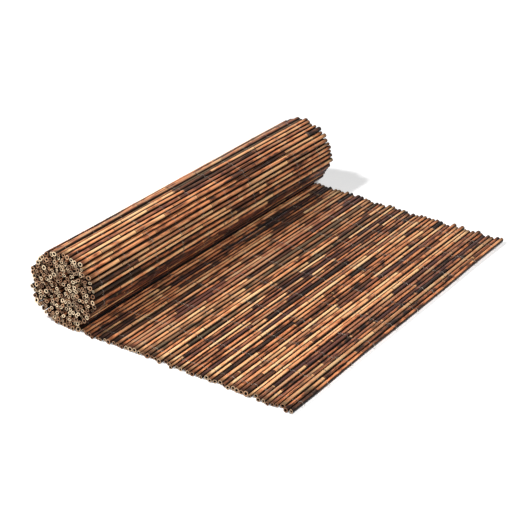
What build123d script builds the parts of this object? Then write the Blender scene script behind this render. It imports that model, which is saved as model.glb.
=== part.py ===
from build123d import *
import math
import os
import random

# Reed screen, 1 m tall, partly unrolled: reeds bound side by side by ten rows of wire.
# The reeds lie along Y. The free end lies flat on the ground towards +X, and the rest is
# wound in a loose spiral, from under the roll up its -X side and over the top.
# Lengths are in millimetres. The origin is on the ground, in the middle of the footprint.

# Reeds
reed_length = 1000.0
reed_pitch = 11.07
reed_thickness = 8.6
ridge_height = 2.8
ridge_width = 3.8
end_stagger = 8.0

# The lie of the screen: the flat stretch, the roll and the open core
flat_length = 596.0
roll_radius = 90.5
core_radius = 8.5

# Binding wires: an upper and a lower strand in each row
wire_thickness = 0.8
wire_width = 0.8
wire_clearance = 0.15
row_count = 10
near_margin = 32.0
far_margin = 54.5
strand_spacing = 2.0

# Slits between the loose tips of the flat reeds, outside the first and last row
slit_width = 1.4
slit_to_row = 16.0

# Swollen joints of some flat reeds, which carry the screen clear of its lower wires
joint_length = 6.0
reeds_per_joint = 7
rows_per_joint = 3

half_reed = reed_thickness / 2
half_valley = half_reed - ridge_height
half_ridge = ridge_width / 2
joint_height = wire_thickness + wire_clearance
turn_gap = wire_thickness + 2 * wire_clearance
turn_pitch = reed_thickness + turn_gap

# Middle line of the screen, as seen along the reeds
middle_height = joint_height + half_reed
start_radius = roll_radius - half_reed
end_radius = core_radius + half_reed
drop_per_radian = turn_pitch / (2 * math.pi)
roll_x = -(flat_length - roll_radius + turn_pitch / 4) / 2
roll_height = middle_height + start_radius
free_edge_x = roll_x + flat_length
screen_length = flat_length + (start_radius**2 - end_radius**2) / (2 * drop_per_radian)
reed_count = int(screen_length / reed_pitch)
flat_reeds = int(flat_length / reed_pitch)
turn_length = 2 * math.pi * (start_radius - turn_pitch / 2)
turned_reeds = int((flat_length + turn_length) / reed_pitch)
near_end = -reed_length / 2
far_end = reed_length / 2
row_pitch = (reed_length - near_margin - far_margin) / (row_count - 1)
row_places = [near_end + near_margin + row_pitch * row for row in range(row_count)]


def wound_angle(run):
    """Angle wound, in radians, at a run along the screen from its free edge."""
    wound = max(run - flat_length, 0.0)
    return (start_radius - math.sqrt(start_radius**2 - 2 * drop_per_radian * wound)) / drop_per_radian


def station(run, out=0.0, along=0.0):
    """Point (x, z) at a run from the free edge, out towards the face that lies on the ground."""
    angle = -math.pi / 2 - wound_angle(run)
    facing = (math.cos(angle), math.sin(angle))
    if run <= flat_length:
        x, z = free_edge_x - run, middle_height
    else:
        radius = start_radius - drop_per_radian * wound_angle(run)
        x, z = roll_x + radius * facing[0], roll_height + radius * facing[1]
    return (x + out * facing[0] + along * facing[1], z + out * facing[1] - along * facing[0])


def ridge(run, out, width):
    """Top of a reed, flat where it shows and sharp inside the roll."""
    if run > flat_length + turn_length:
        return [station(run, out)]
    return [station(run, out, -width / 2), station(run, out, width / 2)]


def reed_section(index, grown=0.0):
    """Outline of one reed and its half of the joins to its neighbours."""
    start = index * reed_pitch
    middle = start + reed_pitch / 2
    end = start + reed_pitch
    high = half_reed + grown
    outer = [station(start, half_valley), *ridge(middle, high, ridge_width), station(end, half_valley)]
    inner = [station(end, -half_valley), *ridge(middle, -high, -ridge_width), station(start, -half_valley)]
    return outer + inner


def reed_solid(index, near, far, grown=0.0):
    """One reed, or a swollen length of it, from its near to its far end."""
    with BuildPart() as reed:
        with BuildSketch(Plane.XZ.offset(-far)):
            with BuildLine():
                Polyline(*reed_section(index, grown), close=True)
            make_face()
        extrude(amount=far - near)
    return reed.part


# Reeds, each with its own ragged ends
end_draw = random.Random(7)
reeds = []
for index in range(reed_count):
    reed_near = near_end + end_draw.uniform(-end_stagger, end_stagger)
    reed_far = far_end + end_draw.uniform(-end_stagger, end_stagger)
    reeds.append(reed_solid(index, reed_near, reed_far))

# Swollen joints, midway between two rows of wire
joints = []
for row_y in row_places[1:-1:rows_per_joint]:
    joint_near = row_y + (row_pitch - joint_length) / 2
    for index in range(1, flat_reeds, reeds_per_joint):
        joints.append(reed_solid(index, joint_near, joint_near + joint_length, joint_height))

# Mat: the reeds as ridges of one wall, with slits between the tips of the flat stretch
near_slit = near_margin + end_stagger - slit_to_row
far_slit = far_margin + end_stagger - slit_to_row
slit_places = [free_edge_x - reed_pitch * (reed + 1) for reed in range(flat_reeds)]
with BuildPart() as mat:
    add(reeds + joints)
    with BuildSketch(Plane.XY.offset(joint_height)):
        for slit_x in slit_places:
            with Locations((slit_x, near_end - end_stagger + near_slit / 2)):
                Rectangle(slit_width, near_slit)
            with Locations((slit_x, far_end + end_stagger - far_slit / 2)):
                Rectangle(slit_width, far_slit)
    extrude(amount=reed_thickness, mode=Mode.SUBTRACT)
mat.part.label = "reed_mat"

os.makedirs("parts", exist_ok=True)
export_step(mat.part, "parts/reed_mat.step")


def strand_outline(face, runs, lift):
    """Outline of a strand along one face of the screen, lifted a little where it bends."""
    inner = half_reed + wire_clearance
    near_side = [station(run, face * (inner + up)) for run, up in zip(runs, lift)]
    far_side = [station(run, face * (inner + wire_thickness + up)) for run, up in zip(runs, lift)]
    return near_side + far_side[::-1]


# Wires: the upper strand lies on the flat stretch and goes in under the roll. The lower
# strand lies under the flat stretch and goes once round the roll. It turns up over the top
# of the first reeds, and from there bends at every second valley, where it stands out
# enough to pass over the reeds on both sides.
edge_run = reed_pitch / 2
turned_radius = roll_radius - turn_pitch
reed_angle = reed_pitch / turned_radius
top_edge = turned_radius * math.cos(reed_angle / 2) + half_ridge * math.sin(reed_angle / 2)
bend_lift = top_edge / math.cos(reed_angle) - turned_radius
first_tops = [reed_pitch * (flat_reeds + step + 0.5) for step in range(2)]
first_tops = [run for run in first_tops if run > flat_length]
turn_bends = [reed_pitch * index for index in range(flat_reeds + 3, turned_reeds, 2)]
lower_runs = [edge_run, flat_length] + first_tops + turn_bends
lower_lift = [0.0] * (2 + len(first_tops)) + [bend_lift] * len(turn_bends)
strands = {
    "upper": (-1, [edge_run, flat_length], [0.0, 0.0]),
    "lower": (1, lower_runs, lower_lift),
}
for row, row_y in enumerate(row_places, start=1):
    for name, (face, runs, lift) in strands.items():
        strand_y = row_y - face * strand_spacing / 2
        with BuildPart() as wire:
            with BuildSketch(Plane.XZ.offset(-strand_y - wire_width / 2)):
                with BuildLine():
                    Polyline(*strand_outline(face, runs, lift), close=True)
                make_face()
            extrude(amount=wire_width)
        wire.part.label = f"row_{row:02d}_{name}_wire"
        export_step(wire.part, f"parts/{wire.part.label}.step")
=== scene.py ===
"""Finish and fine form of a garden reed screen, wound in a roll with its free end lying flat."""

import logging
import math
from dataclasses import dataclass, field
from enum import Enum
from typing import Callable

import bmesh
import bpy
import numpy as np
from mathutils import Matrix, Vector


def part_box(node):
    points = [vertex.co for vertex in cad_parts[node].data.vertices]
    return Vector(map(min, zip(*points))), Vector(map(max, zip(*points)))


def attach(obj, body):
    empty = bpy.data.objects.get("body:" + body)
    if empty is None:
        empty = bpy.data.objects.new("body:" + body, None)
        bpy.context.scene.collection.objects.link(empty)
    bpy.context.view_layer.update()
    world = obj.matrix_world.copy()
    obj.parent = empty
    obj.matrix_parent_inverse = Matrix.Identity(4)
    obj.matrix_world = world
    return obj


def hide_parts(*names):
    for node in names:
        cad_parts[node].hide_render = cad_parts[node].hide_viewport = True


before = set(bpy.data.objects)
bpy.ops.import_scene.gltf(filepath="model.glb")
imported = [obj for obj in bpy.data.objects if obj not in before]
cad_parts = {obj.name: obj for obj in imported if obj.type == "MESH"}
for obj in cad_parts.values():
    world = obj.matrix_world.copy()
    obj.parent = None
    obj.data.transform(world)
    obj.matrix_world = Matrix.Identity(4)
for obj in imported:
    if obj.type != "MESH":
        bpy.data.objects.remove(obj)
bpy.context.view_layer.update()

LOG = logging.getLogger("reed_screen")
MAT_NODE = "reed_mat"
BODY = "root"
MM = 0.001
ROWS = 10
STRAND_SPACING = 2.0 * MM
BAKE_MAP = "OFBake"


def shade(red: int, green: int, blue: int) -> tuple[float, float, float, float]:
    """Turns a colour as it shows on screen into the linear colour that a shader takes.

    Args:
        red: Its red, from 0 to 255.
        green: Its green.
        blue: Its blue.

    Returns:
        The linear colour, with full alpha.
    """
    parts = [value / 255 for value in (red, green, blue)]
    linear = [part / 12.92 if part <= 0.04045 else ((part + 0.055) / 1.055) ** 2.4 for part in parts]
    return (*linear, 1.0)


class Face(Enum):
    """Faces of the screen. The outer one is on the ground in the flat stretch."""

    INNER = -1
    OUTER = 1


class Skin(Enum):
    """Material slots of a reed's mesh, in order."""

    STAINED = 0
    CUT = 1
    BORE = 2


@dataclass(frozen=True)
class Fade:
    """A smooth step: 0 where a value is start, and most where it is end."""

    start: float
    end: float
    most: float = 1.0


class NodeBench:
    """Adds nodes to one tree and links them.

    Args:
        tree: The material's or group's node tree.
    """

    def __init__(self, tree: bpy.types.NodeTree) -> None:
        """Takes the tree to work on."""
        self.tree = tree

    def add(self, kind: str, inputs: dict | None = None, **settings: object) -> bpy.types.Node:
        """Adds a node.

        Args:
            kind: The node's type, without the leading ShaderNode.
            inputs: A value or a socket to feed each named or numbered input.
            settings: Properties of the node.

        Returns:
            The new node.
        """
        node = self.tree.nodes.new(kind if kind.startswith("NodeGroup") else "ShaderNode" + kind)
        for name, value in settings.items():
            setattr(node, name, value)
        for name, value in (inputs or {}).items():
            self.feed(node.inputs[name], value)
        return node

    def feed(self, socket: bpy.types.NodeSocket, value: object) -> None:
        """Links a socket to an input, or sets the input's own value.

        Args:
            socket: The input.
            value: A socket or a plain value.
        """
        if isinstance(value, bpy.types.NodeSocket):
            self.tree.links.new(value, socket)
        else:
            socket.default_value = value

    def math(self, operation: str, first: object, second: object = 0.0) -> bpy.types.NodeSocket:
        """Works out one step of a sum, kept between 0 and 1.

        Args:
            operation: The Math node's operation.
            first: Its first value or socket.
            second: Its second value or socket.

        Returns:
            The result.
        """
        node = self.add("Math", {0: first, 1: second}, operation=operation, use_clamp=True)
        return node.outputs[0]

    def part(self, value: object, share: float) -> bpy.types.NodeSocket:
        """A share of a value."""
        return self.math("MULTIPLY", value, share)

    def fade(self, value: object, step: Fade) -> bpy.types.NodeSocket:
        """Turns a value into a mask.

        Args:
            value: The value.
            step: Where the mask starts, and where it is full.

        Returns:
            The mask.
        """
        inputs = {"Value": value, "From Min": step.start, "From Max": step.end, "To Max": step.most}
        return self.add("MapRange", inputs, interpolation_type="SMOOTHSTEP").outputs["Result"]

    def blend(self, share: object, first: object, second: object, kind: str = "MIX") -> bpy.types.NodeSocket:
        """Mixes two colours.

        Args:
            share: The second colour's share, from 0 to 1.
            first: The colour below.
            second: The colour on top.
            kind: How they are mixed.

        Returns:
            The mixed colour.
        """
        node = self.add("Mix", {0: share, 6: first, 7: second}, data_type="RGBA", blend_type=kind)
        return node.outputs[2]

    def ramp(self, value: object, stops: tuple) -> bpy.types.NodeSocket:
        """Gives a value a colour.

        Args:
            value: A value between 0 and 1.
            stops: Pairs of a place between 0 and 1 and its colour.

        Returns:
            The colour.
        """
        node = self.add("ValToRGB", {"Fac": value})
        marks = node.color_ramp.elements
        while len(marks) < len(stops):
            marks.new(1.0)
        for mark, (place, colour) in zip(marks, stops):
            mark.position = place
            mark.color = colour
        return node.outputs["Color"]

    def noise(self, place: object, stretch: tuple, detail: float = 3.0) -> bpy.types.NodeSocket:
        """Adds noise.

        Args:
            place: The place that it is read at.
            stretch: Its scale along each axis, per metre.
            detail: How many finer layers it has.

        Returns:
            The noise, from 0 to 1.
        """
        spread = self.add("Mapping", {"Vector": place, "Scale": stretch}, vector_type="POINT")
        node = self.add("TexNoise", {"Vector": spread.outputs[0], "Scale": 1.0, "Detail": detail})
        return node.outputs["Fac"]

    def bump(self, height: object, strength: float, depth: float, **settings: object) -> bpy.types.NodeSocket:
        """Adds fine relief.

        Args:
            height: Its height, from 0 to 1.
            strength: How strongly it shows.
            depth: How deep it is, in metres.
            settings: Properties of the Bump node.

        Returns:
            The normal.
        """
        inputs = {"Height": height, "Strength": strength, "Distance": depth}
        return self.add("Bump", inputs, **settings).outputs["Normal"]

    def attribute(self, name: str) -> bpy.types.NodeSocket:
        """One of the mesh's own attributes, as a vector."""
        return self.add("Attribute", attribute_name=name, attribute_type="GEOMETRY").outputs["Vector"]

    def parts(self, vector: object) -> bpy.types.NodeOutputs:
        """The three parts of a vector."""
        return self.add("SeparateXYZ", {0: vector}).outputs

    def seen(self) -> bpy.types.NodeSocket:
        """Tells what the camera sees, straight, in a mirror or through glass, from what only lights.

        Returns:
            1 for what is seen and 0 for the rest.
        """
        path = self.add("LightPath").outputs
        seen = self.math("MAXIMUM", path["Is Camera Ray"], path["Is Glossy Ray"])
        return self.math("MAXIMUM", seen, path["Is Transmission Ray"])


@dataclass(frozen=True)
class SharedEffect:
    """A node group that several finishes use."""

    name: str = "effect"
    inputs: tuple = (("Place", "NodeSocketVector"),)
    outputs: tuple = ()

    def group(self) -> bpy.types.NodeTree:
        """Builds the group once.

        Returns:
            The group.
        """
        if self.name in bpy.data.node_groups:
            return bpy.data.node_groups[self.name]
        tree = bpy.data.node_groups.new(self.name, "ShaderNodeTree")
        for name, kind in self.inputs:
            tree.interface.new_socket(name=name, in_out="INPUT", socket_type=kind)
        for name in self.outputs:
            tree.interface.new_socket(name=name, in_out="OUTPUT", socket_type="NodeSocketFloat")
        bench = NodeBench(tree)
        bench.add("NodeGroupOutput", self.marks(bench, bench.add("NodeGroupInput").outputs))
        return tree

    def marks(self, bench: NodeBench, start: bpy.types.NodeOutputs) -> dict:
        """Builds what is in the group.

        Args:
            bench: The group's nodes.
            start: The group's inputs.

        Returns:
            A socket for each of the group's outputs.
        """
        raise NotImplementedError

    def use(self, bench: NodeBench, inputs: dict) -> bpy.types.NodeOutputs:
        """Places the group in a finish.

        Args:
            bench: The finish's nodes.
            inputs: A value or a socket for each of the group's inputs.

        Returns:
            The group's outputs.
        """
        return bench.add("Group", inputs, node_tree=self.group()).outputs


@dataclass(frozen=True)
class CaneGrain(SharedEffect):
    """The growth marks of a reed, in the reed's own straight frame."""

    name: str = "cane_grain"
    outputs: tuple = ("Streaks", "Fibres", "Blotches")
    streaks: tuple = (420.0, 7.0, 420.0)
    streaks_fade: Fade = Fade(0.32, 0.7)
    fibres: tuple = (1900.0, 22.0, 1900.0)
    blotches: tuple = (110.0, 24.0, 110.0)
    blotches_fade: Fade = Fade(0.42, 0.68)

    def marks(self, bench: NodeBench, start: bpy.types.NodeOutputs) -> dict:
        """Builds the streaks, fibres and blotches.

        Args:
            bench: The group's nodes.
            start: The group's inputs.

        Returns:
            A socket for each of the group's outputs.
        """
        place = start["Place"]
        return {
            "Streaks": bench.fade(bench.noise(place, self.streaks), self.streaks_fade),
            "Fibres": bench.noise(place, self.fibres, 2.0),
            "Blotches": bench.fade(bench.noise(place, self.blotches, 6.0), self.blotches_fade),
        }


@dataclass(frozen=True)
class Weathering(SharedEffect):
    """The pale dust and dull spots that outdoor goods gather in the warehouse."""

    name: str = "weathering"
    inputs: tuple = (("Place", "NodeSocketVector"), ("Amount", "NodeSocketFloat"))
    outputs: tuple = ("Dust", "Dullness")
    specks: tuple = (520.0, 160.0, 520.0)
    specks_fade: Fade = Fade(0.55, 0.8)
    patches: tuple = (30.0, 9.0, 30.0)
    patches_fade: Fade = Fade(0.35, 0.7)

    def marks(self, bench: NodeBench, start: bpy.types.NodeOutputs) -> dict:
        """Builds the dust and the dull patches.

        Args:
            bench: The group's nodes.
            start: The group's inputs.

        Returns:
            A socket for each of the group's outputs.
        """
        specks = bench.fade(bench.noise(start["Place"], self.specks, 4.0), self.specks_fade)
        patches = bench.fade(bench.noise(start["Place"], self.patches), self.patches_fade)
        return {"Dust": bench.math("MULTIPLY", specks, start["Amount"]), "Dullness": patches}


@dataclass(frozen=True)
class Finish:
    """What all finishes share: a named material with one shader."""

    name: str = "finish"

    def material(self) -> bpy.types.Material:
        """Builds the material.

        Returns:
            The material.
        """
        material = bpy.data.materials.new(self.name)
        material.use_nodes = True
        self.dress(NodeBench(material.node_tree), material.node_tree.nodes["Principled BSDF"])
        return material

    def dress(self, bench: NodeBench, shader: bpy.types.Node) -> None:
        """Gives the shader its colour, roughness and relief.

        Args:
            bench: The material's nodes.
            shader: The material's shader.
        """
        raise NotImplementedError


@dataclass(frozen=True)
class StainedSkin(Finish):
    """The varnished outer skin of the reeds, from near black to golden straw."""

    name: str = "stained_skin"
    stain: tuple = (
        (0.0, shade(23, 15, 13)),
        (0.14, shade(57, 40, 33)),
        (0.3, shade(112, 70, 49)),
        (0.48, shade(190, 115, 75)),
        (0.68, shade(226, 152, 103)),
        (0.86, shade(240, 180, 128)),
        (1.0, shade(246, 200, 148)),
    )
    plum: tuple = shade(100, 62, 58)
    olive: tuple = shade(132, 112, 84)
    straw: tuple = shade(242, 192, 136)
    joint_line: tuple = shade(36, 22, 18)
    dust: tuple = shade(206, 188, 164)
    # One near-black for two marks: painted shade in the grooves between reeds, and real grime on the soaked
    # ends.
    shade_and_grime: tuple = shade(16, 9, 7)
    tone_share: float = 0.64
    bay_share: float = 0.36
    streak_share: float = 0.28
    blotch_share: float = 0.4
    least_depth: float = 0.06
    sheathed_bays: Fade = Fade(0.16, 0.12, 0.6)
    plum_hues: Fade = Fade(0.3, 0.16, 0.5)
    olive_hues: Fade = Fade(0.9, 0.96, 0.42)
    pale_before_joint: Fade = Fade(0.09, 0.004, 0.65)
    pale_bays: Fade = Fade(0.68, 0.95)
    dark_after_joint: Fade = Fade(0.045, 0.001, 0.65)
    dark_tones: Fade = Fade(0.9, 0.3)
    ring_at_joint: Fade = Fade(0.0055, 0.003, 0.5)
    ringed_bays: Fade = Fade(0.35, 0.6)
    line_at_joint: Fade = Fade(0.5, 0.8, 0.85)
    # Painted shade: darker where the skin turns away from the screen's face towards the neighbouring reeds.
    painted_groove_shade: Fade = Fade(0.95, 0.54, 0.98)
    soaked_end: Fade = Fade(0.03, 0.002, 0.75)
    dust_share: float = 0.3
    least_roughness: float = 0.34
    specular: float = 0.08

    def dress(self, bench: NodeBench, shader: bpy.types.Node) -> None:
        """Stains the skin, marks its joints, paints shade into its grooves and darkens its soaked ends.

        Args:
            bench: The material's nodes.
            shader: The material's shader.
        """
        draws = bench.parts(bench.attribute("stain"))
        place = bench.attribute("grain")
        grain = CaneGrain().use(bench, {"Place": place})
        worn = Weathering().use(bench, {"Place": place, "Amount": 0.5})
        colour = self.stained(bench, draws, grain)
        colour = self.jointed(bench, colour, draws)
        colour = bench.blend(bench.part(worn["Dust"], self.dust_share), colour, self.dust)
        bench.feed(shader.inputs["Base Color"], self.shaded_and_soiled(bench, colour))
        roughness = bench.math("ADD", bench.part(worn["Dullness"], 0.2), self.least_roughness)
        bench.feed(shader.inputs["Roughness"], roughness)
        shader.inputs["Specular IOR Level"].default_value = self.specular
        relief = bench.math("ADD", bench.part(grain["Fibres"], 0.7), bench.part(grain["Streaks"], 0.3))
        bench.feed(shader.inputs["Normal"], bench.bump(relief, 0.35, 0.25 * MM))

    def stained(
        self, bench: NodeBench, draws: bpy.types.NodeOutputs, grain: bpy.types.NodeOutputs
    ) -> bpy.types.NodeSocket:
        """Stains each reed, and each length between its joints, in its own tone.

        Args:
            bench: The material's nodes.
            draws: Tone, hue and the draw of the length between two joints.
            grain: Outputs of the grain group.

        Returns:
            The stained colour.
        """
        tone, hue, bay = draws
        depth = bench.math("ADD", bench.part(tone, self.tone_share), bench.part(bay, self.bay_share))
        depth = bench.math("ADD", depth, bench.part(grain["Streaks"], self.streak_share))
        depth = bench.math("SUBTRACT", depth, bench.part(grain["Blotches"], self.blotch_share))
        depth = bench.math("ADD", depth, self.least_depth)
        bare = bench.math("SUBTRACT", 1.0, bench.fade(bay, self.sheathed_bays))
        colour = bench.ramp(bench.math("MULTIPLY", depth, bare), self.stain)
        colour = bench.blend(bench.fade(hue, self.plum_hues), colour, self.plum)
        colour = bench.blend(bench.fade(hue, self.olive_hues), colour, self.olive)
        lines = bench.math("ADD", bench.part(grain["Fibres"], 0.6), 0.7)
        return bench.blend(0.8, colour, lines, "MULTIPLY")

    def jointed(self, bench: NodeBench, colour: object, draws: bpy.types.NodeOutputs) -> bpy.types.NodeSocket:
        """Adds pale skin before a joint, dark sheath after it, and the line of the joint itself.

        Args:
            bench: The material's nodes.
            colour: The stained colour.
            draws: Tone, hue and the draw of the length between two joints.

        Returns:
            The colour with its joints.
        """
        tone, _, bay = draws
        ahead, behind, near = bench.parts(bench.attribute("joint"))
        marks = (
            (bench.fade(ahead, self.pale_before_joint), bench.fade(bay, self.pale_bays), self.straw),
            (bench.fade(behind, self.dark_after_joint), bench.fade(tone, self.dark_tones), self.joint_line),
            (bench.fade(ahead, self.ring_at_joint), bench.fade(bay, self.ringed_bays), self.straw),
        )
        for place, chosen, mark in marks:
            colour = bench.blend(bench.math("MULTIPLY", place, chosen), colour, mark)
        return bench.blend(bench.fade(near, self.line_at_joint), colour, self.joint_line)

    def shaded_and_soiled(self, bench: NodeBench, colour: object) -> bpy.types.NodeSocket:
        """Paints shade into the grooves between reeds, and darkens the ends that have soaked up water.

        Args:
            bench: The material's nodes.
            colour: The clean colour.

        Returns:
            The colour with painted shade in its grooves and its soaked ends darkened.
        """
        lie = bench.parts(bench.attribute("lie"))
        # Painted shade in the grooves between reeds, plus grime on the soaked ends.
        shade_and_dirt = bench.math("MAXIMUM", bench.fade(lie[0], self.painted_groove_shade), bench.fade(lie[2], self.soaked_end))
        return bench.blend(shade_and_dirt, colour, self.shade_and_grime)


@dataclass(frozen=True)
class CutEnd(Finish):
    """The sawn ends of the reeds: cream rings with a dark rim and the ends of the fibres showing."""

    name: str = "cut_end"
    cream: tuple = shade(255, 228, 188)
    tan: tuple = shade(196, 150, 112)
    fibre: tuple = shade(114, 74, 46)
    skin: tuple = shade(30, 19, 14)
    pore_scale: float = 1400.0
    pore: Fade = Fade(0.35, 0.1, 0.4)
    tan_hues: Fade = Fade(0.4, 0.9)
    aged_tones: Fade = Fade(0.52, 0.12, 0.88)
    rim: Fade = Fade(0.84, 0.95)
    near_ground: Fade = Fade(0.022, 0.012, 0.6)

    def dress(self, bench: NodeBench, shader: bpy.types.Node) -> None:
        """Colours the rings, darker where they have aged, lie near the ground or meet the skin.

        Args:
            bench: The material's nodes.
            shader: The material's shader.
        """
        draws = bench.parts(bench.attribute("stain"))
        place = bench.attribute("grain")
        worn = Weathering().use(bench, {"Place": place, "Amount": 1.0})
        dots = bench.add("TexVoronoi", {"Vector": place, "Scale": self.pore_scale})
        pores = bench.fade(dots.outputs["Distance"], self.pore)
        outward = bench.parts(bench.attribute("lie"))[1]
        height = bench.parts(bench.add("TexCoord").outputs["Object"])[2]
        colour = bench.blend(bench.fade(draws[1], self.tan_hues), self.cream, self.tan)
        layers = (
            (bench.fade(draws[0], self.aged_tones), self.fibre),
            (pores, self.fibre),
            (bench.fade(outward, self.rim), self.skin),
            (bench.part(worn["Dullness"], 0.4), self.fibre),
            (bench.fade(height, self.near_ground), self.fibre),
        )
        for share, layer in layers:
            colour = bench.blend(share, colour, layer)
        bench.feed(shader.inputs["Base Color"], colour)
        shader.inputs["Roughness"].default_value = 0.85
        bench.feed(shader.inputs["Normal"], bench.bump(pores, 0.5, 0.2 * MM, invert=True))


@dataclass(frozen=True)
class BoreShadeAndPith(Finish):
    """The inside of the reeds: near-black painted shade of the deep bore, streaked with the pith's own
    colour.
    """

    name: str = "bore_shade_and_pith"
    # Painted shade: the near-black of the bore's depths, not the pith's own colour.
    dark: tuple = shade(14, 9, 7)
    pith: tuple = shade(84, 60, 42)

    def dress(self, bench: NodeBench, shader: bpy.types.Node) -> None:
        """Streaks the bore's painted shade with pith.

        Args:
            bench: The material's nodes.
            shader: The material's shader.
        """
        grain = CaneGrain().use(bench, {"Place": bench.attribute("grain")})
        colour = bench.blend(bench.part(grain["Streaks"], 0.35), self.dark, self.pith)
        bench.feed(shader.inputs["Base Color"], colour)
        shader.inputs["Roughness"].default_value = 0.95
        bench.feed(shader.inputs["Normal"], bench.bump(grain["Fibres"], 0.4, 0.3 * MM))


@dataclass(frozen=True)
class Galvanised(Finish):
    """Thin zinc-coated wire, a little dulled."""

    name: str = "galvanised_wire"
    bright: tuple = shade(182, 174, 162)
    dull: tuple = shade(112, 100, 88)
    rust: tuple = shade(120, 96, 74)
    spangle_scale: float = 260.0
    spangle_fade: Fade = Fade(0.35, 0.65)

    def dress(self, bench: NodeBench, shader: bpy.types.Node) -> None:
        """Gives the zinc its spangle and a trace of rust.

        Args:
            bench: The material's nodes.
            shader: The material's shader.
        """
        place = bench.add("TexCoord").outputs["Object"]
        worn = Weathering().use(bench, {"Place": place, "Amount": 1.0})
        spangle = bench.noise(place, (self.spangle_scale,) * 3)
        colour = bench.blend(bench.fade(spangle, self.spangle_fade), self.dull, self.bright)
        colour = bench.blend(bench.part(worn["Dust"], 0.5), colour, self.rust)
        bench.feed(shader.inputs["Base Color"], colour)
        bench.feed(shader.inputs["Roughness"], bench.math("ADD", bench.part(spangle, 0.3), 0.4))
        shader.inputs["Metallic"].default_value = 0.7


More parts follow.
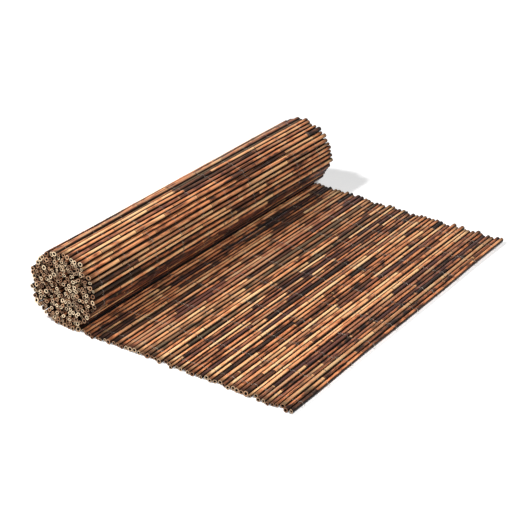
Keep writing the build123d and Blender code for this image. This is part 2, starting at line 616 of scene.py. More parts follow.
@dataclass
class ScreenLay:
    """Where each reed of the screen lies, and how thick it is."""

    reed_length: float = 1.0
    reed_pitch: float = 11.07 * MM
    flat_length: float = 0.596
    roll_radius: float = 0.0905
    core_radius: float = 0.005
    reed_thickness: float = 8.6 * MM
    turn_pitch: float = 8.5 * MM
    wire: float = 0.6 * MM
    flat_diameters: tuple = (10.7, 1.6)
    turn_diameters: tuple = (11.0, 1.4)
    inner_diameters: tuple = (9.2, 1.3)
    flat_raggedness: float = 3.2 * MM
    roll_raggedness: float = 2.6 * MM
    far_raggedness: float = 1.5
    loose_share: float = 0.08
    longest_cut: float = 8.0 * MM
    edge_sweep: float = 4.0 * MM
    joint_spacing: tuple = (0.1, 0.21)
    joint_margin: float = 0.045
    kink: float = 0.5 * MM
    end_kink: float = 0.2
    side_play: float = 0.7 * MM
    skew: float = 1.5 * MM
    bow: float = 1.0 * MM
    lift: float = 0.5 * MM
    crossing_reeds: int = 14
    crossing_skew: tuple = (3.0 * MM, 8.0 * MM)
    crossing_lift: float = 3.0 * MM
    fan: float = 6.0 * MM
    near_swelling: float = 0.012
    waist: float = 0.008
    lean: float = 5.0 * MM
    slack: float = 0.1 * MM
    anchor_share: float = 0.02
    push_share: float = 0.4
    pull_share: float = 0.3
    seed: int = 11
    stations: tuple = (-0.5, 0.0, 0.5)
    radii: np.ndarray = field(init=False)
    runs: np.ndarray = field(init=False)
    places: np.ndarray = field(init=False)
    ends: np.ndarray = field(init=False)

    def __post_init__(self) -> None:
        """Draws the reeds and settles them at the two ends and in the middle."""
        self.draw = np.random.default_rng(self.seed)
        self.free_edge_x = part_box(MAT_NODE)[1].x
        self.roll_x = self.free_edge_x - self.flat_length
        self.start_radius = self.roll_radius - self.reed_thickness / 2
        self.end_radius = self.core_radius + self.reed_thickness / 2
        self.drop = self.turn_pitch / (2 * math.pi)
        self.foot = self.wire + self.reed_thickness / 2
        self.roll_height = self.foot + self.start_radius
        wound = (self.start_radius**2 - self.end_radius**2) / (2 * self.drop)
        self.count = int((self.flat_length + wound) / self.reed_pitch)
        self.runs = (np.arange(self.count) + 0.5) * self.reed_pitch
        self.flat_reeds = int(np.searchsorted(self.runs, self.flat_length))
        self.turned_reeds = self.first_of_turn(2)
        self.from_roll = np.clip(1 - self.runs / self.flat_length, 0.0, 1.0)
        self.draw_thickness()
        self.draw_ends()
        self.draw_joints()
        self.settle_reeds()

    def draw_thickness(self) -> None:
        """Draws the reeds' thickness, as a mean and a spread for each stretch of the screen."""
        spans = (
            (0, self.flat_reeds, self.flat_diameters),
            (self.flat_reeds, self.turned_reeds, self.turn_diameters),
            (self.turned_reeds, self.count, self.inner_diameters),
        )
        self.radii = np.zeros(self.count)
        for start, end, (mean, spread) in spans:
            drawn = mean + np.clip(self.draw.normal(0.0, 1.0, end - start), -2.0, 2.0) * spread
            self.radii[start:end] = drawn * MM / 2

    def draw_ends(self) -> None:
        """Draws the reeds' ragged ends, where the near edge sweeps outwards and the far one inwards."""
        ragged = np.clip(self.draw.normal(0.0, 1.0, (self.count, 2)), -2.2, 2.2)
        loose = self.draw.uniform(size=self.count) < self.loose_share
        flat = np.arange(self.count) < self.flat_reeds
        reach = np.where(flat | loose, self.flat_raggedness, self.roll_raggedness)
        drawn = ragged * reach[:, None] * np.array([1.0, self.far_raggedness])
        cut = np.clip(drawn, -self.longest_cut, self.longest_cut)
        self.ends = cut + np.array([-self.reed_length / 2, self.reed_length / 2])
        self.ends[:, 0] -= self.edge_sweep * np.clip(self.from_roll * 2 - 0.8, 0.0, 1.0)
        self.ends[:, 1] -= self.edge_sweep * np.sin(self.from_roll * math.pi)

    def draw_joints(self) -> None:
        """Draws where the reeds that show have their joints, and how far each joint is out of line."""
        self.joints = [
            self.joints_of_reed() if reed < self.turned_reeds else np.zeros(0) for reed in range(self.count)
        ]
        self.kinks = [self.draw.normal(0.0, self.kink, (len(joints) + 2, 2)) for joints in self.joints]
        for kinks in self.kinks:
            kinks[[0, -1]] *= self.end_kink

    def joints_of_reed(self) -> np.ndarray:
        """Draws one reed's joints.

        Returns:
            Their places, from the reed's near end.
        """
        spacing = self.draw.uniform(*self.joint_spacing)
        place = self.draw.uniform(self.joint_margin, self.joint_margin + spacing)
        places = []
        while place < self.reed_length - self.joint_margin:
            places.append(place)
            place += spacing * self.draw.uniform(0.8, 1.2)
        return np.array(places)

    def path(self, runs: np.ndarray) -> tuple[np.ndarray, np.ndarray]:
        """Works out the middle line of the screen.

        Args:
            runs: Distances along the screen from its free edge.

        Returns:
            The points (x, z), and the directions (x, z) towards the outer face.
        """
        wound = np.maximum(runs - self.flat_length, 0.0)
        reach = np.sqrt(np.maximum(self.start_radius**2 - 2 * self.drop * wound, 0.0))
        angle = -math.pi / 2 - (self.start_radius - reach) / self.drop
        facing = np.stack([np.cos(angle), np.sin(angle)], axis=1)
        rolled = np.array([self.roll_x, self.roll_height]) + reach[:, None] * facing
        flat = np.stack([self.free_edge_x - runs, np.full(len(runs), self.foot)], axis=1)
        return np.where(runs[:, None] <= self.flat_length, flat, rolled), facing

    def settle_reeds(self) -> None:
        """Places each reed at the near end, the middle and the far end, clear of its neighbours."""
        along = self.draw.normal(0.0, self.side_play, self.count)
        skew = self.draw.normal(0.0, self.skew, self.count)
        bow = self.draw.normal(0.0, self.bow, self.count)
        lift = self.draw.normal(0.0, self.lift, self.count)
        crossing = self.draw.choice(self.turned_reeds, self.crossing_reeds, replace=False)
        askew = self.draw.uniform(*self.crossing_skew, self.crossing_reeds)
        skew[crossing] = np.sign(skew[crossing]) * askew
        lift[crossing] = self.crossing_lift
        settled = []
        for station in self.stations:
            side = along + skew * station * 2 + bow * (1 - abs(station) * 2)
            side = side - self.fan * self.from_roll**2 * (0.5 - station)
            points, facing = self.path(self.runs + side)
            points = points - facing * lift[:, None]
            settled.append(self.swell(self.settle(points), station))
        self.places = np.stack(settled, axis=1)

    def swell(self, places: np.ndarray, station: float) -> np.ndarray:
        """Lets the roll spread a little at its near end, and lean towards the flat at its far end.

        Args:
            places: Where the reeds lie, as (x, z).
            station: How far along the reeds, from -0.5 to 0.5.

        Returns:
            Where they lie then.
        """
        rolled = self.runs > self.flat_length
        grown = 1 + self.near_swelling * (0.5 - station) - self.waist * (0.5 - abs(station))
        spread = places.copy()
        spread[rolled, 1] = places[rolled, 1] * grown
        height = np.clip(places[rolled, 1] / self.start_radius, 0.0, 1.0)
        lean = self.lean * max(station * 2, 0.0) * height
        spread[rolled, 0] = self.roll_x + (places[rolled, 0] - self.roll_x) * grown + lean
        return spread

    def settle(self, anchors: np.ndarray, rounds: int = 110) -> np.ndarray:
        """Moves reeds that overlap apart, without lifting them far from where they were laid.

        Args:
            anchors: Where the reeds were laid, as (x, z).
            rounds: How often they are moved.

        Returns:
            Where they come to lie.
        """
        places = anchors.copy()
        apart_by = self.radii[:, None] + self.radii[None]
        own = np.eye(len(anchors))
        for _ in range(rounds):
            places += (anchors - places) * self.anchor_share
            gaps = places[:, None] - places[None]
            distance = np.linalg.norm(gaps, axis=2) + own
            push = np.clip(apart_by - distance, 0.0, None) * (1 - own)
            places += (gaps / distance[..., None] * push[..., None]).sum(axis=1) * self.push_share
            places += self.drawn_together(places)
            places[:, 1] = np.maximum(places[:, 1], self.radii + self.wire)
        return places

    def drawn_together(self, places: np.ndarray) -> np.ndarray:
        """Closes the gaps between neighbours in the flat stretch and the outer turn, as the wires do.

        Args:
            places: Where the reeds lie, as (x, z).

        Returns:
            How far each reed moves.
        """
        shown = self.turned_reeds
        ahead = places[1:shown] - places[: shown - 1]
        apart = np.linalg.norm(ahead, axis=1)
        touching = self.radii[1:shown] + self.radii[: shown - 1]
        excess = np.clip(apart - touching - self.slack, 0.0, None) * self.pull_share
        moves = np.zeros_like(places)
        moves[: shown - 1] += ahead / apart[:, None] * excess[:, None]
        moves[1:shown] -= ahead / apart[:, None] * excess[:, None]
        return moves

    def centre(self, reed: int, y: np.ndarray) -> np.ndarray:
        """Works out the middle line of a reed, bowed and bent at its joints.

        Args:
            reed: Which reed of the screen.
            y: Places along it.

        Returns:
            Its middle there, as (x, z).
        """
        near, middle, far = self.places[reed]
        t = (np.asarray(y) / self.reed_length)[:, None]
        bowed = middle + (far - near) * t + (far + near - 2 * middle) * 2 * t * t
        marks = np.concatenate([[0.0], self.joints[reed], [self.reed_length]]) - self.reed_length / 2
        kinked = [np.interp(y, marks, self.kinks[reed][:, axis]) for axis in (0, 1)]
        return bowed + np.stack(kinked, axis=1)

    def facing(self, reed: int) -> np.ndarray:
        """Direction (x, z) from a reed towards the outer face of the screen."""
        return self.path(self.runs[reed : reed + 1])[1][0]

    def first_of_turn(self, turn: int) -> int:
        """Finds where a turn of the roll starts.

        Args:
            turn: The turn, counted from 1 at the outside.

        Returns:
            Its first reed.
        """
        reach = max(self.start_radius - self.turn_pitch * (turn - 1), self.end_radius)
        run = self.flat_length + (self.start_radius**2 - reach**2) / (2 * self.drop)
        return int(np.searchsorted(self.runs, run - 1e-9))


@dataclass
class ReedStock:
    """Reeds as they are cut: straight, evenly jointed and hollow, to be copied into the screen."""

    diameter: float = 10.0 * MM
    length: float = 1.0
    bore: float = 5.6 * MM
    bore_depth: float = 24.0 * MM
    joint_reach: float = 4.0 * MM
    joint_rise: float = 1.08
    rim: float = 0.6 * MM
    rim_easing: float = 0.94
    smooth_angle: float = 50.0
    models: dict = field(default_factory=dict)

    def model(self, joints: int, sides: int) -> bpy.types.Mesh:
        """Models a reed once for each number of joints.

        Args:
            joints: How many joints it has. A reed without any is for the inside of the roll.
            sides: How many sides its section has.

        Returns:
            The mesh, along Y and centred on the origin.
        """
        if (joints, sides) in self.models:
            return self.models[joints, sides]
        bpy.ops.object.select_all(action="DESELECT")
        bpy.ops.mesh.primitive_cylinder_add(
            vertices=sides, radius=self.diameter / 2, depth=self.length, rotation=(math.pi / 2, 0, 0)
        )
        reed = bpy.context.object
        bpy.ops.object.transform_apply(location=True, rotation=True, scale=True)
        bpy.ops.object.mode_set(mode="EDIT")
        for end in (-1, 1):
            self.hollow(reed, end, joints > 0)
        for y in self.loops(joints):
            bpy.ops.mesh.select_all(action="SELECT")
            bpy.ops.mesh.bisect(plane_co=(0, y, 0), plane_no=(0, 1, 0))
        for y in self.joint_places(joints):
            self.pick(reed, lambda co, y=y: abs(co.y - y) < 1e-5)
            rise = self.joint_rise
            bpy.ops.transform.resize(value=(rise, 1, rise), center_override=(0, y, 0))
        bpy.ops.object.mode_set(mode="OBJECT")
        bpy.ops.object.shade_smooth_by_angle(angle=math.radians(self.smooth_angle))
        self.mark_slots(reed.data)
        self.models[joints, sides] = reed.data
        bpy.data.objects.remove(reed)
        return self.models[joints, sides]

    def hollow(self, reed: bpy.types.Object, end: int, eased: bool) -> None:
        """Insets an end and sinks the bore into it.

        Args:
            reed: The reed, in edit mode.
            end: -1 for the near end, 1 for the far end.
            eased: Whether the outer rim is eased too.
        """
        y = end * self.length / 2
        self.pick(reed, lambda co: abs(co.y - y) < 1e-5)
        bpy.ops.mesh.inset(thickness=(self.diameter - self.bore) / 2, depth=0)
        bpy.ops.mesh.extrude_region_move(TRANSFORM_OT_translate={"value": (0, -end * self.bore_depth, 0)})
        if eased:
            self.pick(reed, lambda co: abs(co.y - y) < 1e-5 and math.hypot(co.x, co.z) > self.diameter * 0.45)
            easing = self.rim_easing
            bpy.ops.transform.resize(value=(easing, 1, easing), center_override=(0, y, 0))

    @staticmethod
    def pick(reed: bpy.types.Object, test: Callable[[Vector], bool]) -> None:
        """Selects vertices by their place, and the faces between them.

        Args:
            reed: The reed, in edit mode.
            test: Whether a vertex at a place is selected.
        """
        bpy.ops.mesh.select_mode(type="VERT")
        bpy.ops.mesh.select_all(action="DESELECT")
        shape = bmesh.from_edit_mesh(reed.data)
        for vertex in shape.verts:
            vertex.select_set(test(vertex.co))
        shape.select_flush(True)
        bmesh.update_edit_mesh(reed.data)

    def joint_places(self, joints: int) -> list[float]:
        """Places of the joints along the model."""
        return [self.length * ((joint + 1) / (joints + 1) - 0.5) for joint in range(joints)]

    def loops(self, joints: int) -> list[float]:
        """Chooses where the model's sides are divided.

        Args:
            joints: How many joints it has.

        Returns:
            Places along it.
        """
        half = self.length / 2
        if not joints:
            return [-half / 2, 0.0, half / 2]
        rings = [-half + self.rim, half - self.rim]
        for y in self.joint_places(joints):
            rings += [y - self.joint_reach, y, y + self.joint_reach]
        for bay in range(joints + 1):
            rings.append(self.length * ((bay + 0.5) / (joints + 1) - 0.5))
        return rings

    def mark_slots(self, mesh: bpy.types.Mesh) -> None:
        """Gives the cut ends and the bores their own material slots.

        Args:
            mesh: The model's mesh.
        """
        for face in mesh.polygons:
            if math.hypot(face.center.x, face.center.z) < self.bore * 0.51 and self.bored(face):
                face.material_index = Skin.BORE.value
            elif abs(face.normal.y) > 0.9:
                face.material_index = Skin.CUT.value

    def bored(self, face: bpy.types.MeshPolygon) -> bool:
        """Whether a face is inside a bore."""
        return abs(face.center.y) < self.length / 2 - 1e-5


@dataclass
class ReedMat:
    """All the reeds of the screen, bent and stained one by one, in pieces of a dozen or so."""

    lay: ScreenLay
    stock: ReedStock
    flat_pieces: int = 4
    turn_pieces: int = 4
    shown_sides: int = 10
    inner_sides: int = 8
    fullness: float = 2.06
    taper: float = 0.06
    flattest: float = 0.95
    cut_tilt: float = 0.16
    tilted_share: float = 0.03
    tone_shape: tuple = (1.35, 1.3)
    seed: int = 23

    def __post_init__(self) -> None:
        """Makes the finishes."""
        self.draw = np.random.default_rng(self.seed)
        self.finishes = [finish.material() for finish in (StainedSkin(), CutEnd(), BoreShadeAndPith())]

    def build(self) -> list[bpy.types.Object]:
        """Builds the reeds, from the free edge to the core of the roll.

        Returns:
            The pieces.
        """
        pieces = []
        spans = (
            ("flat_reeds", 0, self.lay.flat_reeds, self.flat_pieces),
            ("outer_turn_reeds", self.lay.flat_reeds, self.lay.turned_reeds, self.turn_pieces),
        )
        for name, start, end, count in spans:
            marks = np.linspace(start, end, count + 1).astype(int)
            for number, (first, last) in enumerate(zip(marks, marks[1:]), start=1):
                pieces.append(self.piece(f"{name}_{number}", range(first, last), True))
        turn, first = 2, self.lay.turned_reeds
        while first < self.lay.count:
            last = min(self.lay.first_of_turn(turn + 1), self.lay.count)
            if last <= first:
                last = self.lay.count
            pieces.append(self.piece(f"inner_turn_{turn}_reeds", range(first, last), False))
            turn, first = turn + 1, last
        return pieces

    def piece(self, name: str, reeds: range, shows: bool) -> bpy.types.Object:
        """Joins some reeds into one piece and dresses it.

        Args:
            name: The piece's name.
            reeds: The reeds in it.
            shows: Whether their whole length shows, or only their ends.

        Returns:
            The piece.
        """
        width = 1 / len(reeds)
        copies = [self.reed(reed, shows, strip / len(reeds), width) for strip, reed in enumerate(reeds)]
        bpy.ops.object.select_all(action="DESELECT")
        for copy in copies:
            copy.select_set(True)
        bpy.context.view_layer.objects.active = copies[0]
        bpy.ops.object.join()
        piece = bpy.context.object
        piece.name = name
        piece.data.name = name
        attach(piece, BODY)
        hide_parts(MAT_NODE)
        LOG.info("%s: %d reeds, %d faces", name, len(reeds), len(piece.data.polygons))
        return piece

    def reed(self, reed: int, shows: bool, strip: float, width: float) -> bpy.types.Object:
        """Copies a reed from the stock, with its own joints, thickness, bend and ends.

        Args:
            reed: Which reed of the screen.
            shows: Whether its whole length shows.
            strip: Where its strip of the piece's UV map starts.
            width: The strip's width.

        Returns:
            The reed in its place.
        """
        joints = self.lay.joints[reed]
        sides = self.shown_sides if shows else self.inner_sides
        mesh = self.stock.model(len(joints), sides).copy()
        for finish in self.finishes:
            mesh.materials.append(finish)
        straight = np.zeros(len(mesh.vertices) * 3)
        mesh.vertices.foreach_get("co", straight)
        straight = straight.reshape(-1, 3)
        UvStrip(strip, width, sides, self.stock).lay_out(mesh, straight)
        along = self.moved_joints(straight[:, 1] + self.stock.length / 2, joints) / self.stock.length
        section = self.section(reed, straight, along)
        y = self.sawn(reed, along, section)
        placed = self.lay.centre(reed, y) + section
        placed[:, 1] = np.maximum(placed[:, 1], 0.0)
        mesh.vertices.foreach_set("co", np.stack([placed[:, 0], y, placed[:, 1]], axis=1).ravel())
        self.mark_growth(mesh, along * self.stock.length, joints, section)
        self.mark_lie(mesh, self.lay.facing(reed), section, straight, along)
        mesh.update()
        copy = bpy.data.objects.new(f"reed_{reed}", mesh)
        bpy.context.scene.collection.objects.link(copy)
        return copy

    def moved_joints(self, places: np.ndarray, joints: np.ndarray) -> np.ndarray:
        """Moves the model's even joints to a reed's own, without stretching joints or cut ends.

        Args:
            places: The vertices' places along the model.
            joints: The reed's joints.

        Returns:
            Their places along the reed.
        """
        length, depth, reach = self.stock.length, self.stock.bore_depth, self.stock.joint_reach
        even = np.array(self.stock.joint_places(len(joints))) + length / 2
        near, far = [0.0, depth], [length - depth, length]
        model, own = (
            np.concatenate([near, np.ravel([marks - reach, marks + reach], "F"), far])
            for marks in (even, joints)
        )
        return np.interp(places, model, own)

    def section(self, reed: int, straight: np.ndarray, along: np.ndarray) -> np.ndarray:
        """Shapes a reed's section at each vertex, thicker at one end, a little oval and turned.

        Args:
            reed: Which reed of the screen.
            straight: The model's vertices.
            along: Their places along the reed, from 0 to 1.

        Returns:
            Places (x, z) from the reed's middle line.
        """
        scale = self.lay.radii[reed] * self.fullness / self.stock.diameter
        taper = 1 + self.draw.uniform(-self.taper, self.taper) * (along - 0.5) * 2
        oval = self.draw.uniform(self.flattest, 1.0)
        turn = self.draw.uniform(0, 2 * math.pi)
        squeezed = straight[:, [0, 2]] * np.array([1.0, oval])
        cos, sin = math.cos(turn), math.sin(turn)
        turned = squeezed @ np.array([[cos, sin], [-sin, cos]])
        return turned * (scale * taper)[:, None]

    def sawn(self, reed: int, along: np.ndarray, section: np.ndarray) -> np.ndarray:
        """Cuts a reed to its own length, a little askew at both ends.

        Args:
            reed: Which reed of the screen.
            along: The vertices' places along the reed, from 0 to 1.
            section: Their places round its middle line.

        Returns:
            Their y.
        """
        near, far = self.lay.ends[reed]
        tilt = self.draw.normal(0.0, self.cut_tilt, 4)
        at_near = np.clip(1 - along / self.tilted_share, 0, 1)[:, None]
        at_far = np.clip(1 - (1 - along) / self.tilted_share, 0, 1)[:, None]
        askew = (section * tilt[:2] * at_near + section * tilt[2:] * at_far).sum(axis=1)
        return near + along * (far - near) + askew

    def mark_growth(
        self, mesh: bpy.types.Mesh, places: np.ndarray, joints: np.ndarray, section: np.ndarray
    ) -> None:
        """Stores what the finishes read of a reed's growth: the stain's draws, the joints and the grain.

        Args:
            mesh: The reed's mesh.
            places: The vertices' places along the reed.
            joints: The reed's joints.
            section: The vertices' places round the reed's middle line.
        """
        marks = joints
        if not len(joints):
            marks = np.array([self.draw.uniform(0.05, 0.2), self.draw.uniform(0.8, 0.95)])
        bay = np.searchsorted(marks, places - 1e-6)
        tone = np.full(len(places), self.draw.beta(*self.tone_shape))
        hue = np.full(len(places), self.draw.uniform())
        bays = self.draw.uniform(size=len(marks) + 1)
        ahead = np.append(marks, self.stock.length + 0.05)[bay] - places
        behind = places - np.insert(marks, 0, -0.05)[bay]
        nearest = np.min(np.abs(places[:, None] - marks[None]), axis=1)
        at_joint = np.clip(1 - nearest / self.stock.joint_reach, 0, 1)
        offset = self.draw.uniform(0, 50)
        self.store(mesh, "stain", tone, hue, bays[bay])
        self.store(mesh, "joint", ahead, behind, at_joint)
        self.store(mesh, "grain", section[:, 0], places + offset, section[:, 1])

    def mark_lie(
        self,
        mesh: bpy.types.Mesh,
        facing: np.ndarray,
        section: np.ndarray,
        straight: np.ndarray,
        along: np.ndarray,
    ) -> None:
        """Stores how near each vertex is to the reed's crest, to its skin and to its nearer end.

        Args:
            mesh: The reed's mesh.
            facing: Direction from the reed towards the screen's outer face.
            section: The vertices' places round the reed's middle line.
            straight: The model's vertices.
            along: Their places along the reed, from 0 to 1.
        """
        reach = np.maximum(np.linalg.norm(section, axis=1), 1e-9)
        # Near 1 where the skin faces out of the screen and near 0 beside the neighbours; the skin's finish
        # paints shade into the grooves from it.
        crest = np.abs(section @ facing) / reach
        outward = np.hypot(straight[:, 0], straight[:, 2]) / self.stock.diameter * 2
        to_end = np.minimum(along, 1 - along) * self.stock.length
        self.store(mesh, "lie", crest, outward, to_end)

    @staticmethod
    def store(mesh: bpy.types.Mesh, name: str, *parts: np.ndarray) -> None:
        """Stores a vector for each vertex.

        Args:
            mesh: The reed's mesh.
            name: The attribute's name.
            parts: The vectors' three parts.
        """
        layer = mesh.attributes.new(name, "FLOAT_VECTOR", "POINT")
        layer.data.foreach_set("vector", np.stack(parts, axis=1).ravel())


@dataclass(frozen=True)
class UvStrip:
    """One reed's place in its piece's UV map: a strip, with the skin unrolled between the two ends."""

    start: float
    width: float
    sides: int
    stock: ReedStock
    skin: tuple = (0.08, 0.92)
    cut: tuple = (0.05, 0.075)
    bore: tuple = (0.02, 0.045)
    floor: tuple = (0.001, 0.016)
    margin: float = 0.02

    def lay_out(self, mesh: bpy.types.Mesh, straight: np.ndarray) -> None:
        """Writes the UV map.

        Args:
            mesh: The reed's mesh.
            straight: The model's vertices.
        """
        first = self.numbers(mesh.polygons, "loop_start")
        sizes = self.numbers(mesh.polygons, "loop_total")
        slots = self.numbers(mesh.polygons, "material_index")
        face = np.repeat(np.arange(len(sizes)), sizes)
        spots = straight[self.numbers(mesh.loops, "vertex_index")]
        turn = self.turned(spots, face, first)
        reach = np.hypot(spots[:, 0], spots[:, 2])
        share = np.clip((self.stock.diameter / 2 - reach) / (self.stock.diameter - self.stock.bore) * 2, 0, 1)
        depth = np.clip((self.stock.length / 2 - np.abs(spots[:, 1])) / self.stock.bore_depth, 0, 1)
        v = self.skin[0] + (spots[:, 1] / self.stock.length + 0.5) * (self.skin[1] - self.skin[0])
        folded = {
            Skin.CUT: self.cut[1] - share * (self.cut[1] - self.cut[0]),
            Skin.BORE: self.bore[1] - depth * (self.bore[1] - self.bore[0]),
        }
        far = np.add.reduceat(spots[:, 1], first)[face] > 0
        for kind, place in folded.items():
            v = np.where(slots[face] == kind.value, np.where(far, 1 - place, place), v)
        disc = (sizes > 4)[face]
        angle = turn * 2 * math.pi
        middle = (self.floor[0] + self.floor[1]) / 2
        round_v = middle + np.sin(angle) * (self.floor[1] - self.floor[0]) / 2
        v = np.where(disc, np.where(far, 1 - round_v, round_v), v)
        across = self.margin + (1 - 2 * self.margin) * np.where(disc, 0.5 + np.cos(angle) * 0.45, turn)
        layer = mesh.uv_layers[0]
        layer.name = BAKE_MAP
        layer.data.foreach_set("uv", np.stack([self.start + across * self.width, v], axis=1).ravel())

    def turned(self, spots: np.ndarray, face: np.ndarray, first: np.ndarray) -> np.ndarray:
        """Works out how far round the reed each corner is, without a jump inside a face.

        Args:
            spots: The corners' places on the model.
            face: The face of each corner.
            first: The first corner of each face.

        Returns:
            Shares of a full turn.
        """
        shift = 0.25 / self.sides
        turn = (np.arctan2(spots[:, 2], spots[:, 0]) / (2 * math.pi) + shift) % 1
        low = np.minimum.reduceat(turn, first)[face]
        high = np.maximum.reduceat(turn, first)[face]
        return turn + ((high - low > 0.5) & (turn < 0.5)) - shift

    @staticmethod
    def numbers(items: bpy.types.bpy_prop_collection, name: str) -> np.ndarray:
        """Reads one whole number of each item of a mesh.

        Args:
            items: Its faces or corners.
            name: Which number.

        Returns:
            The numbers.
        """
        values = np.zeros(len(items), np.int32)
        items.foreach_get(name, values)
        return values


@dataclass
class WireRow:
    """One row of binding wire: two strands that pass over and under the reeds and meet between them."""

    lay: ScreenLay
    number: int
    y: float
    finish: bpy.types.Material
    over_reed: tuple = (-62.0, -31.0, 0.0, 31.0, 62.0)
    tail: tuple = ((5.0 * MM, -2.5 * MM, -0.6 * MM), (2.0 * MM, 1.0 * MM, 0.5 * MM))
    strand_share: float = 0.8
    nip: float = 0.15 * MM

    def build(self) -> list[bpy.types.Object]:
        """Builds both strands.

        Returns:
            The upper and the lower strand.
        """
        return [
            self.strand(Face.INNER, "upper", self.lay.flat_reeds),
            self.strand(Face.OUTER, "lower", self.lay.turned_reeds - 1),
        ]

    def strand(self, face: Face, name: str, reeds: int) -> bpy.types.Object:
        """Bends one strand over the reeds of one face.

        Args:
            face: The face of the screen that it lies on.
            name: upper or lower.
            reeds: How many reeds it passes, from the free edge.

        Returns:
            The strand as a mesh.
        """
        node = f"row_{self.number:02d}_{name}_wire"
        bpy.ops.object.select_all(action="DESELECT")
        bpy.ops.curve.primitive_nurbs_path_add()
        wire = bpy.context.object
        wire.name = f"binding_{node}"
        line = wire.data
        line.splines.clear()
        points = self.route(face, reeds)
        spline = line.splines.new("POLY")
        spline.points.add(len(points) - 1)
        for point, place in zip(spline.points, points):
            point.co = (*place, 1.0)
        line.dimensions = "3D"
        line.bevel_depth = self.lay.wire / 2
        line.bevel_resolution = 1
        line.use_fill_caps = True
        bpy.ops.object.convert(target="MESH")
        bpy.ops.object.shade_smooth()
        wire = bpy.context.object
        wire.data.materials.clear()
        wire.data.materials.append(self.finish)
        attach(wire, BODY)
        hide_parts(node)
        LOG.info("%s: %d faces", wire.name, len(wire.data.polygons))
        return wire

    def route(self, face: Face, reeds: int) -> list[tuple[float, float, float]]:
        """Works out the middle line of a strand, from its tail at the free edge inwards.

        Args:
            face: The face of the screen that it lies on.
            reeds: How many reeds it passes.

        Returns:
            Its points.
        """
        side = face.value
        beside = -side * self.lay.wire * self.strand_share
        lowest = self.lay.wire / 2
        centres = np.array([self.lay.centre(reed, [self.y])[0] for reed in range(reeds + 1)])
        facing = np.array([self.lay.facing(reed) for reed in range(reeds + 1)])
        inward = np.stack([facing[:, 1], -facing[:, 0]], axis=1)
        edge = centres[0] - inward[0] * (self.lay.radii[0] + self.lay.wire)
        points = []
        for beyond, across, up in self.tail:
            spot = edge - inward[0] * beyond
            points.append((spot[0], self.y + across * side, edge[1] + up * side))
        points.append((edge[0], self.y + beside, edge[1]))
        for reed in range(reeds):
            reach = self.lay.radii[reed] + self.lay.wire / 2
            for turn in np.radians(self.over_reed):
                way = facing[reed] * side * math.cos(turn) + inward[reed] * math.sin(turn)
                spot = centres[reed] + way * reach
                points.append((spot[0], self.y + beside, max(spot[1], lowest)))
            middle = (centres[reed] + centres[reed + 1]) / 2 + facing[reed] * side * self.nip
            points.append((middle[0], self.y + beside * (0.5 - reed % 2), max(middle[1], lowest)))
        return points


@dataclass(frozen=True)
class FloorPaint(Finish):
    """Matt white floor that stays white to the camera and keeps the screen's shadow."""

    name: str = "floor"
    white: tuple = (0.9, 0.9, 0.9, 1.0)
    glow: float = 0.3
    away: Fade = Fade(1.0, 3.0, 0.7)

    def dress(self, bench: NodeBench, shader: bpy.types.Node) -> None:
        """Adds a glow that only the camera sees, and that is full away from the screen.

        Args:
            bench: The material's nodes.
            shader: The material's shader.
        """
        shader.inputs["Base Color"].default_value = self.white
        shader.inputs["Roughness"].default_value = 1.0
        shader.inputs["Specular IOR Level"].default_value = 0.0
        spot = bench.add("TexCoord").outputs["Object"]
        distance = bench.add("VectorMath", {0: spot}, operation="LENGTH").outputs["Value"]
        share = bench.math("ADD", bench.fade(distance, self.away), self.glow)
        glow = bench.add("Emission", {"Strength": bench.math("MULTIPLY", bench.seen(), share)})
        both = bench.add("AddShader", {0: shader.outputs[0], 1: glow.outputs[0]})
        bench.feed(bench.tree.nodes["Material Output"].inputs["Surface"], both.outputs[0])


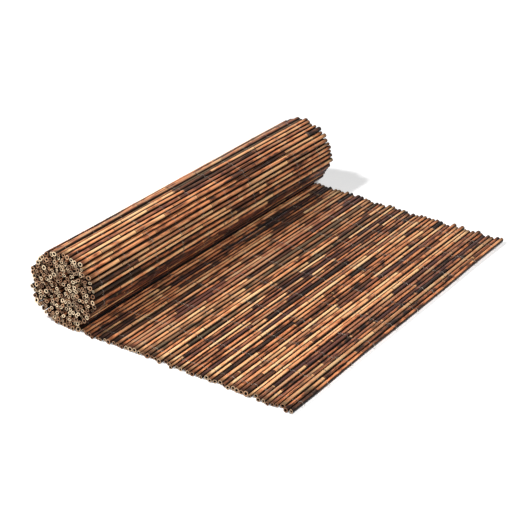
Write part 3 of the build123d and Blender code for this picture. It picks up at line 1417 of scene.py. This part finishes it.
@dataclass
class Studio:
    """Camera, lamps and white floor."""

    azimuth: float = 31.155
    elevation: float = 26.97
    bank: float = 3.197
    focal: float = 119.96
    sensor: float = 36.0
    place: tuple = (2.14115, -2.69526, 1.91920)
    roll_x: float = -0.254
    near_end: float = -0.5
    lamp_size: float = 0.4
    lamps: tuple = (("key", (-1.7, -1.9, 3.1), 158.0), ("top", (1.9, -1.2, 2.8), 92.0))
    soft_light: float = 0.04
    floor_size: float = 60.0

    def build(self) -> None:
        """Sets the studio up."""
        self.camera()
        self.floor()
        self.sky()
        for name, place, power in self.lamps:
            self.lamp(name, place, power)
        bpy.context.scene.view_settings.view_transform = "Standard"
        LOG.info("studio: camera, %d lamps, floor", len(self.lamps))

    def camera(self) -> bpy.types.Object:
        """Adds the camera at the photograph's viewing angle.

        Returns:
            The camera.
        """
        azimuth, elevation, bank = (math.radians(v) for v in (self.azimuth, self.elevation, self.bank))
        forward = Vector((
            -math.sin(azimuth) * math.cos(elevation),
            math.cos(azimuth) * math.cos(elevation),
            -math.sin(elevation),
        ))
        level = Vector((math.cos(azimuth), math.sin(azimuth), 0.0))
        upright = level.cross(forward)
        right = level * math.cos(bank) + upright * math.sin(bank)
        up = upright * math.cos(bank) - level * math.sin(bank)
        lens = bpy.data.cameras.new("camera")
        lens.lens = self.focal
        lens.sensor_width = self.sensor
        lens.sensor_fit = "HORIZONTAL"
        camera = bpy.data.objects.new("camera", lens)
        spot = Vector(self.place) + Vector((self.roll_x, self.near_end, 0.0))
        camera.matrix_world = Matrix.Translation(spot) @ Matrix((right, up, -forward)).transposed().to_4x4()
        bpy.context.scene.collection.objects.link(camera)
        bpy.context.scene.camera = camera
        return camera

    def lamp(self, name: str, place: tuple, power: float) -> bpy.types.Object:
        """Adds a square soft lamp that looks at the middle of the screen.

        Args:
            name: The lamp's name.
            place: Where it hangs.
            power: Its power in watts.

        Returns:
            The lamp.
        """
        light = bpy.data.lights.new(name, "AREA")
        light.size = self.lamp_size
        light.energy = power
        lamp = bpy.data.objects.new(name, light)
        lamp.location = place
        lamp.rotation_euler = (-Vector(place)).to_track_quat("-Z", "Y").to_euler()
        bpy.context.scene.collection.objects.link(lamp)
        return lamp

    def floor(self) -> bpy.types.Object:
        """Adds the floor.

        Returns:
            The floor.
        """
        bpy.ops.object.select_all(action="DESELECT")
        bpy.ops.mesh.primitive_plane_add(size=self.floor_size)
        floor = bpy.context.object
        floor.name = "floor"
        floor.data.materials.append(FloorPaint().material())
        return floor

    def sky(self) -> None:
        """Makes the surroundings white to the camera and an even soft light to the rest."""
        world = bpy.data.worlds.new("studio")
        world.use_nodes = True
        bench = NodeBench(world.node_tree)
        back = world.node_tree.nodes["Background"]
        strength = bench.math("ADD", bench.part(bench.seen(), 1.0 - self.soft_light), self.soft_light)
        bench.feed(back.inputs["Strength"], strength)
        back.inputs["Color"].default_value = (1.0, 1.0, 1.0, 1.0)
        bpy.context.scene.world = world


def main() -> None:
    """Builds the studio, the reeds and the wires."""
    logging.basicConfig(level=logging.INFO, format="%(name)s %(message)s")
    Studio().build()
    lay = ScreenLay()
    ReedMat(lay, ReedStock()).build()
    finish = Galvanised().material()
    for number in range(1, ROWS + 1):
        low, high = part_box(f"row_{number:02d}_upper_wire")
        WireRow(lay, number, (low.y + high.y) / 2 - STRAND_SPACING / 2, finish).build()


if __name__ == "__main__":
    main()
